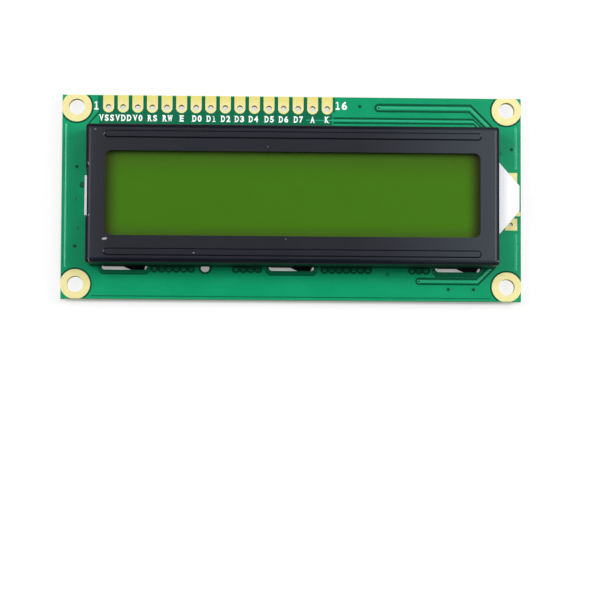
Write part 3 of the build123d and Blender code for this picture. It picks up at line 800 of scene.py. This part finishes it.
# designators of the back: those of the six resistors in a column, and the others in two sizes
COLUMN_NAMES = ("R1", "R2", "R3", "R4", "R5", "R7")
PART_NAMES = (
    ("C3", -21.1, -8.6), ("R6", -21.3, -1.3), ("U1", -7.9, -6.9), ("U2", 17.3, -5.7), ("U3", 23.6, -0.2),
    ("C2", 34.2, -5.9), ("C1", 34.1, -2.5), ("R8", 21.5, 10.1), ("R9", 24.7, 15.9),
)
JUMPER_NAMES = (("J3", 24.2, 7.2), ("J2", 28.0, 7.2), ("J1", 33.4, 7.2))
FRAME_LINE = 0.26
BOLD = 0.03


def broken_frame(ink, x0, y0, x1, y1, gap, rungs=()):
    """Frame round a part, open in the middle of its long sides and of its rungs."""
    left, right = (x0 + x1 - gap) / 2, (x0 + x1 + gap) / 2
    ink.lines(FRAME_LINE, [(left, y0), (x0, y0), (x0, y1), (left, y1)])
    ink.lines(FRAME_LINE, [(right, y0), (x1, y0), (x1, y1), (right, y1)])
    for y in rungs:
        ink.lines(FRAME_LINE, [(x0, y), (left, y)], [(right, y), (x1, y)])


def back_lettering():
    """Frames and designators of the parts on the back."""
    ink = Layer("back_lettering", INK, -1, TOP_RISE)
    # six resistors in one frame, and the seventh in its own
    column_x, first_y = middle("resistor_1")
    pitch = middle("resistor_2")[1] - first_y
    last = len(COLUMN_NAMES) - 1
    rungs = [first_y + (index + 0.5) * pitch for index in range(last)]
    top, foot = first_y - pitch / 2, first_y + (last + 0.5) * pitch
    broken_frame(ink, column_x - 2.55, top, column_x + 2.55, foot, 1.0, rungs)
    for index, name in enumerate(COLUMN_NAMES):
        ink.text(name, column_x + 4.4, first_y + index * pitch, height=1.6, width=2.0)
    single_x, single_y = middle("resistor_7")
    low, high, rung = single_y - 3.4, single_y + 1.3, single_y - 1.15
    broken_frame(ink, single_x - 2.48, low, single_x + 2.48, high, 0.9, [rung])
    for name, x, y in PART_NAMES:
        ink.text(name, x, y, height=1.6, width=2.05)
    for name, x, y in JUMPER_NAMES:
        ink.text(name, x, y, height=1.15, width=1.3)
    # the lamp's two poles, and the header's first and last pin
    ink.text("K", 38.2, -6.6, height=1.15, width=1.0, weight=BOLD)
    ink.text("A", 38.3, 6.5, height=1.15, width=1.0, weight=BOLD)
    figure_one(ink, -33.9, 15.9, height=1.5, weight=0.28)
    figure_one(ink, 9.2, 16.2, height=1.5, weight=0.28)
    ink.text("6", 8.0, 16.2, height=1.5, width=0.95, weight=BOLD)
    # rings round the resin domes, each with a square mark
    for node, radius, tick in (("controller_resin_dome", 6.5, -54), ("driver_resin_dome", 5.3, 70)):
        x, y = middle(node)
        ink.lines(FRAME_LINE, circle(x, y, radius, steps=64))
        mark_x, mark_y = circle(x, y, radius + 0.2, tick, tick, 1)[0]
        ink.patch(mark_x - 0.25, mark_y - 0.25, mark_x + 0.25, mark_y + 0.25)
    # two capacitor places, the driver's place with its notch, and three jumpers
    for y in (-6.15, -2.65):
        ink.lines(FRAME_LINE, frame_path(26.4, y - 1.35, 32.45, y + 1.35))
        ink.patch(26.5, y - 1.3, 26.85, y + 1.3)
    notched = [(28.6, 4.3), (27.9, 4.3), (27.9, -0.9), (30.5, -0.9), (30.5, 4.3), (29.8, 4.3)]
    ink.lines(FRAME_LINE, notched)
    ink.lines(FRAME_LINE, circle(29.2, 4.3, 0.6, 180, 360, 10))
    for x in (27.03, 29.4, 31.78):
        ink.lines(0.18, circle(x, 5.5, 1.16))
    for name in ("resistor_8", "resistor_9"):
        x, y = middle(name)
        broken_frame(ink, x - 3.1, y - 1.32, x + 3.1, y + 1.32, 1.9)
    ink.done()


# ends of strokes that carry a serif: left or right, at the letter's top or foot
SERIFS = {
    "V": ((-1, 1), (1, 1)), "D": ((-1, 1), (-1, -1)), "R": ((-1, 1), (-1, -1), (1, -1)),
    "K": ((-1, 1), (-1, -1), (1, 1), (1, -1)), "A": ((-1, -1), (1, -1)), "W": ((-1, 1), (1, 1)),
    "E": ((-1, 1), (-1, -1)),
}
# pin functions from the first pin on, each with its place along X
PIN_NAMES = (
    ("VSS", -32.3), ("VDD", -29.4), ("V0", -26.9), ("RS", -24.35), ("RW", -21.75), ("E", -19.25),
    ("D0", -16.6), ("D1", -14.1), ("D2", -11.6), ("D3", -9.2), ("D4", -6.75), ("D5", -4.0),
    ("D6", -1.5), ("D7", 1.1), ("A", 3.55), ("K", 6.05),
)


def figure_one(ink, x, y, height, weight):
    """The figure 1 with its flag and foot."""
    half = height / 2 - weight / 2
    ink.lines(weight, [(x, y - half), (x, y + half), (x - ink.side * 0.2 * height, y + 0.3 * height)])
    ink.lines(weight, [(x - 0.25 * height, y - half), (x + 0.25 * height, y - half)])


def serif_word(ink, word, x, y, height, pitch):
    """Bold letters on an even pitch, with short serifs."""
    for index, letter in enumerate(word):
        place = x + (index - (len(word) - 1) / 2) * pitch
        if letter == "1":
            figure_one(ink, place, y, height, 0.2)
            continue
        width = (0.92 if letter == "W" else 0.74) * pitch
        ink.text(letter, place, y, height, width, weight=0.036)
        for end, level in SERIFS.get(letter, ()):
            bar_x, bar_y = place + end * 0.3 * pitch, y + level * (height / 2 - 0.05)
            ink.lines(0.12, [(bar_x - 0.17, bar_y), (bar_x + 0.17, bar_y)])


def front_lettering():
    """Pin numbers and pin functions beside the header."""
    ink = Layer("front_lettering", INK, 1, INK_RISE)
    # the pin functions, then the first pin's number and the last one's
    for name, x in PIN_NAMES:
        serif_word(ink, name, x, 13.6, height=1.12, pitch=1.0 if name == "VDD" else 0.92)
    figure_one(ink, -34.1, 15.75, height=1.5, weight=0.26)
    figure_one(ink, 7.95, 16.1, height=1.45, weight=0.26)
    ink.text("6", 9.1, 16.1, height=1.45, width=0.95, weight=BOLD)
    ink.done()


def floor():
    """Pale table that keeps the module's shadow, lifted towards white for the camera.

    It is lifted least under the board, and more again where the mounting holes and the
    header holes show it, a painted light on the floor that the board shades. Mirrored in the paint it is
    dimmer than it is seen.
    """
    bm = bmesh.new()
    bmesh.ops.create_grid(bm, x_segments=1, y_segments=1, size=900 * MM)
    bmesh.ops.translate(bm, verts=bm.verts, vec=(0, 0, FLOOR * MM))
    mesh = bpy.data.meshes.new("floor")
    bm.to_mesh(mesh)
    bm.free()
    finish = Finish("table_top", Roughness=0.85, Base_Color=srgb(252, 252, 252))
    glow = finish.node("ShaderNodeEmission", {"Color": srgb(255, 255, 255), "Strength": 1.0})
    dim = finish.node("ShaderNodeBsdfDiffuse", {"Color": srgb(90, 96, 92)})
    across = abs(finish.y - (HEADER_EDGE + FAR_EDGE) / 2) - (HEADER_EDGE - FAR_EDGE) / 2
    beside = (abs(finish.x) - END).maximum(across).rise(-0.3, 0.6)
    side_x, side_y = abs(finish.x) - MOUNT[0], abs(finish.y) - MOUNT[1]
    # painted light on the shaded floor below each mounting hole, from squares of the distance to it
    hole_painted_light = (side_x * side_x + side_y * side_y).rise(5.4, 2.4)
    # painted light on the shaded floor below the header's holes
    along = abs(finish.x - (FIRST_PAD + LAST_PAD) / 2)
    row_painted_light = abs(finish.y - MOUNT[1]).rise(1.1, 0.8) * along.rise(20.2, 19.8)
    open_lift, hole_lift, row_lift, board_lift = 0.8, 0.55, 0.4, 0.3
    lift = (beside * open_lift).maximum(hole_painted_light * hole_lift + row_painted_light * row_lift + board_lift)
    share = finish.node("ShaderNodeLightPath", {}, "Is Camera Ray") * lift
    lit = Value(finish, finish.shader.outputs[0])
    seen = finish.node("ShaderNodeMixShader", {0: share, 1: lit, 2: glow})
    mirrored = finish.node("ShaderNodeLightPath", {}, "Is Glossy Ray") * 0.75
    seen = finish.node("ShaderNodeMixShader", {0: mirrored, 1: seen, 2: dim})
    finish.feed(finish.tree.nodes["Material Output"].inputs["Surface"], seen)
    mesh.materials.append(finish.material)
    put("floor", mesh)


def stand(holder, place, turn):
    """Place a lamp or camera, in millimetres, and turn it by a quaternion."""
    holder.rotation_mode = "QUATERNION"
    holder.rotation_quaternion = turn
    holder.location = Vector(place) * MM


def lamp(name, place, size, watts):
    """Soft rectangular lamp at a place in millimetres, turned to the module's middle."""
    light = bpy.data.lights.new(name, "AREA")
    light.shape = "RECTANGLE"
    light.size, light.size_y = size[0] * MM, size[1] * MM
    light.energy = watts
    stand(put(name, light), place, (-Vector(place)).to_track_quat("-Z", "Y"))


def world(strength):
    """Even white surroundings."""
    sky = bpy.data.worlds.new("studio")
    bpy.context.scene.world = sky
    sky.use_nodes = True
    back = sky.node_tree.nodes["Background"]
    back.inputs["Color"].default_value = srgb(255, 255, 255)
    back.inputs["Strength"].default_value = strength


def camera():
    """The photograph's viewpoint, fitted to the mounting holes and header holes."""
    eye = (-15.16, -56.96, 486.031)
    right = Vector((0.999384, 0.004781, 0.034777))
    down = Vector((0.007551, -0.996771, -0.079941))
    forward = right.cross(down)
    focal_px = 2801.2
    frame_px = 600
    view = bpy.data.cameras.new("camera")
    view.sensor_width = 36
    view.lens = view.sensor_width * focal_px / frame_px
    view.clip_start, view.clip_end = 10 * MM, 5000 * MM
    holder = put("camera", view)
    stand(holder, eye, Matrix((right, -down, -forward)).transposed().to_quaternion())
    bpy.context.scene.camera = holder


front_artwork()
front_lettering()
back_artwork()
back_lettering()
floor()
lamp("lamp_left", (-270, 70, 440), size=(200, 320), watts=1.5)
lamp("lamp_right", (290, 70, 440), size=(200, 320), watts=1.9)
lamp("lamp_behind", (0, 260, 600), size=(420, 200), watts=0.7)
world(strength=0.1)
camera()
bpy.context.scene.view_settings.view_transform = "Standard"
